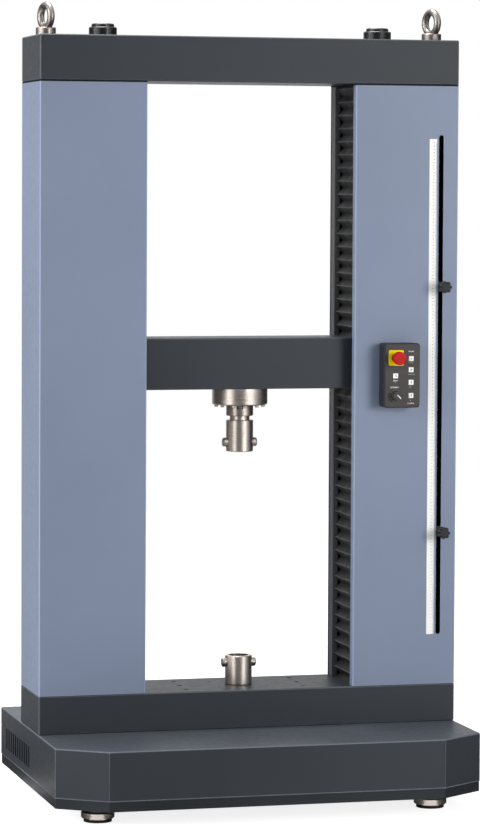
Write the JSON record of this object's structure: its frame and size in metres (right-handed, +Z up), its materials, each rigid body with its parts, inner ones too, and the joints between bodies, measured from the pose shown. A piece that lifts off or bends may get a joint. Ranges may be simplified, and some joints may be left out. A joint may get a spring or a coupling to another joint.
{
  "type": "universal testing machine",
  "caption": "Floor-standing twin-column universal testing machine: ball-screw crosshead with load cell and pinned couplings above a bolted table, bellows in the columns and a control box.",
  "frame": {"origin": "on the floor under the middle of the base", "axes": "+Z up, front faces -Y, +X to the right of someone standing in front"},
  "size_m": [1.292, 0.9232, 2.3929],
  "materials": {
    "charcoal_paint": "satin",
    "blue_paint": "fine satin",
    "grey_strip": "anodised",
    "nickel_steel": "ground, nickel plated",
    "forged_steel": "zinc plated",
    "ground_steel": "ground",
    "bronze": "machined",
    "black_metal": "satin",
    "black_rubber": "matt",
    "bellows_cloth": "coated cloth",
    "pulley_metal": "machined",
    "motor_paint": "satin",
    "gearbox_metal": "cast",
    "ruler_white": "printed",
    "black_plastic": "fine grain",
    "box_plastic": "fine grain",
    "yellow_plate": "satin",
    "red_plastic": "gloss",
    "white_plastic": "gloss",
    "panel_paint": "satin"
  },
  "bodies": {
    "frame": {"base_cover": "charcoal_paint", "base_tray": "charcoal_paint", "table": "charcoal_paint", "top_beam": "charcoal_paint", "left_rear_cover": "charcoal_paint", "right_rear_cover": "charcoal_paint", "left_column_cover": "blue_paint", "right_column_cover": "blue_paint", "bellows_rails": "grey_strip", "lower_coupling": "nickel_steel", "foot_discs": "nickel_steel", "eyebolts": "forged_steel", "guide_columns": "ground_steel", "screw_bearings": "ground_steel", "screw_caps": "black_metal", "foot_collars": "black_metal", "chassis": "black_metal", "motor_plate": "black_metal", "foot_pads": "black_rubber", "drive_belt": "black_rubber", "upper_bellows": "bellows_cloth", "lower_bellows": "bellows_cloth", "stop_rail": "pulley_metal", "servo_drive": "pulley_metal", "motor": "motor_paint", "gearbox": "gearbox_metal", "ruler": "ruler_white", "power_inlet": "black_plastic", "stop_collar": "black_plastic", "box_housing": "box_plastic", "box_back": "box_plastic", "stop_plate": "yellow_plate", "rear_panel": "panel_paint"},
    "crosshead": {"crosshead": "charcoal_paint", "ball_nuts": "ground_steel", "guide_bushes": "bronze", "limit_sensor": "black_plastic", "load_cell": "nickel_steel", "upper_coupling": "nickel_steel"},
    "left_screw": {"left_screw": "ground_steel", "left_screw_pulley": "pulley_metal"},
    "right_screw": {"right_screw": "ground_steel", "right_screw_pulley": "pulley_metal"},
    "drive_pulley": {"drive_pulley": "pulley_metal"},
    "lock_ring": {"lock_ring": "nickel_steel"},
    "upper_pin": {"upper_pin": "nickel_steel"},
    "lower_pin": {"lower_pin": "nickel_steel"},
    "upper_stop": {"upper_stop": "black_plastic"},
    "lower_stop": {"lower_stop": "black_plastic"},
    "upper_knob": {"upper_stop_knob": "black_plastic"},
    "lower_knob": {"lower_stop_knob": "black_plastic"},
    "stop_stem": {"stop_stem": "black_plastic"},
    "stop_button": {"stop_button": "red_plastic"},
    "speed_dial": {"speed_dial": "black_plastic"},
    "main_switch": {"main_switch": "black_plastic"},
    "button_1": {"button_1": "white_plastic"},
    "button_2": {"button_2": "white_plastic"},
    "button_3": {"button_3": "white_plastic"},
    "button_4": {"button_4": "white_plastic"},
    "button_5": {"button_5": "white_plastic"}
  },
  "joints": [
    {"name": "crosshead_slide", "type": "slide", "parent": "frame", "child": "crosshead", "axis": [0, 0, 1], "range_m": [-0.55, 0.45], "deforming": ["upper_bellows", "lower_bellows"]},
    {"name": "left_screw_spin", "type": "hinge", "parent": "frame", "child": "left_screw", "pos_m": [-0.427, 0.016, 1.2], "axis": [0, 0, 1], "range_deg": [-8110, 9910]},
    {"name": "right_screw_spin", "type": "hinge", "parent": "frame", "child": "right_screw", "pos_m": [0.427, 0.016, 1.2], "axis": [0, 0, 1], "range_deg": [-8110, 9910]},
    {"name": "drive_pulley_spin", "type": "hinge", "parent": "frame", "child": "drive_pulley", "pos_m": [0, 0.231, 0.2], "axis": [0, 0, 1], "range_deg": [-12740, 15570]},
    {"name": "lock_ring_turn", "type": "hinge", "parent": "crosshead", "child": "lock_ring", "pos_m": [0, 0.016, 1.1728], "axis": [0, 0, 1], "range_deg": [0, 360]},
    {"name": "upper_pin_pull", "type": "slide", "parent": "crosshead", "child": "upper_pin", "axis": [1, 0, 0], "range_m": [0, 0.11]},
    {"name": "lower_pin_pull", "type": "slide", "parent": "frame", "child": "lower_pin", "axis": [1, 0, 0], "range_m": [0, 0.11]},
    {"name": "upper_stop_slide", "type": "slide", "parent": "frame", "child": "upper_stop", "axis": [0, 0, 1], "range_m": [-0.3, 0.43]},
    {"name": "lower_stop_slide", "type": "slide", "parent": "frame", "child": "lower_stop", "axis": [0, 0, 1], "range_m": [-0.28, 0.4]},
    {"name": "upper_knob_turn", "type": "hinge", "parent": "upper_stop", "child": "upper_knob", "pos_m": [0.5908, -0.158, 1.548], "axis": [0, 1, 0], "range_deg": [-360, 0]},
    {"name": "lower_knob_turn", "type": "hinge", "parent": "lower_stop", "child": "lower_knob", "pos_m": [0.5908, -0.158, 0.805], "axis": [0, 1, 0], "range_deg": [-360, 0]},
    {"name": "stop_press", "type": "slide", "parent": "frame", "child": "stop_stem", "axis": [0, 1, 0], "range_m": [0, 0.004]},
    {"name": "stop_twist", "type": "hinge", "parent": "stop_stem", "child": "stop_button", "pos_m": [0.4333, -0.215, 1.3365], "axis": [0, 1, 0], "range_deg": [0, 45], "stiffness_Nm_per_rad": 0.05},
    {"name": "speed_dial_turn", "type": "hinge", "parent": "frame", "child": "speed_dial", "pos_m": [0.4336, -0.19, 1.2232], "axis": [0, 1, 0], "range_deg": [-285, 15]},
    {"name": "main_switch_rock", "type": "hinge", "parent": "frame", "child": "main_switch", "pos_m": [0.326, 0.452, 0.155], "axis": [1, 0, 0], "range_deg": [0, 16]},
    {"name": "button_1_press", "type": "slide", "parent": "frame", "child": "button_1", "axis": [0, 1, 0], "range_m": [0, 0.0025], "stiffness_N_per_m": 400},
    {"name": "button_2_press", "type": "slide", "parent": "frame", "child": "button_2", "axis": [0, 1, 0], "range_m": [0, 0.0025], "stiffness_N_per_m": 400},
    {"name": "button_3_press", "type": "slide", "parent": "frame", "child": "button_3", "axis": [0, 1, 0], "range_m": [0, 0.0025], "stiffness_N_per_m": 400},
    {"name": "button_4_press", "type": "slide", "parent": "frame", "child": "button_4", "axis": [0, 1, 0], "range_m": [0, 0.0025], "stiffness_N_per_m": 400},
    {"name": "button_5_press", "type": "slide", "parent": "frame", "child": "button_5", "axis": [0, 1, 0], "range_m": [0, 0.0025], "stiffness_N_per_m": 400}
  ],
  "couplings": [
    {"joint": "left_screw_spin", "follows": "crosshead_slide", "rad_per_m": -314.16},
    {"joint": "right_screw_spin", "follows": "crosshead_slide", "rad_per_m": -314.16},
    {"joint": "drive_pulley_spin", "follows": "crosshead_slide", "rad_per_m": -493.68}
  ]
}
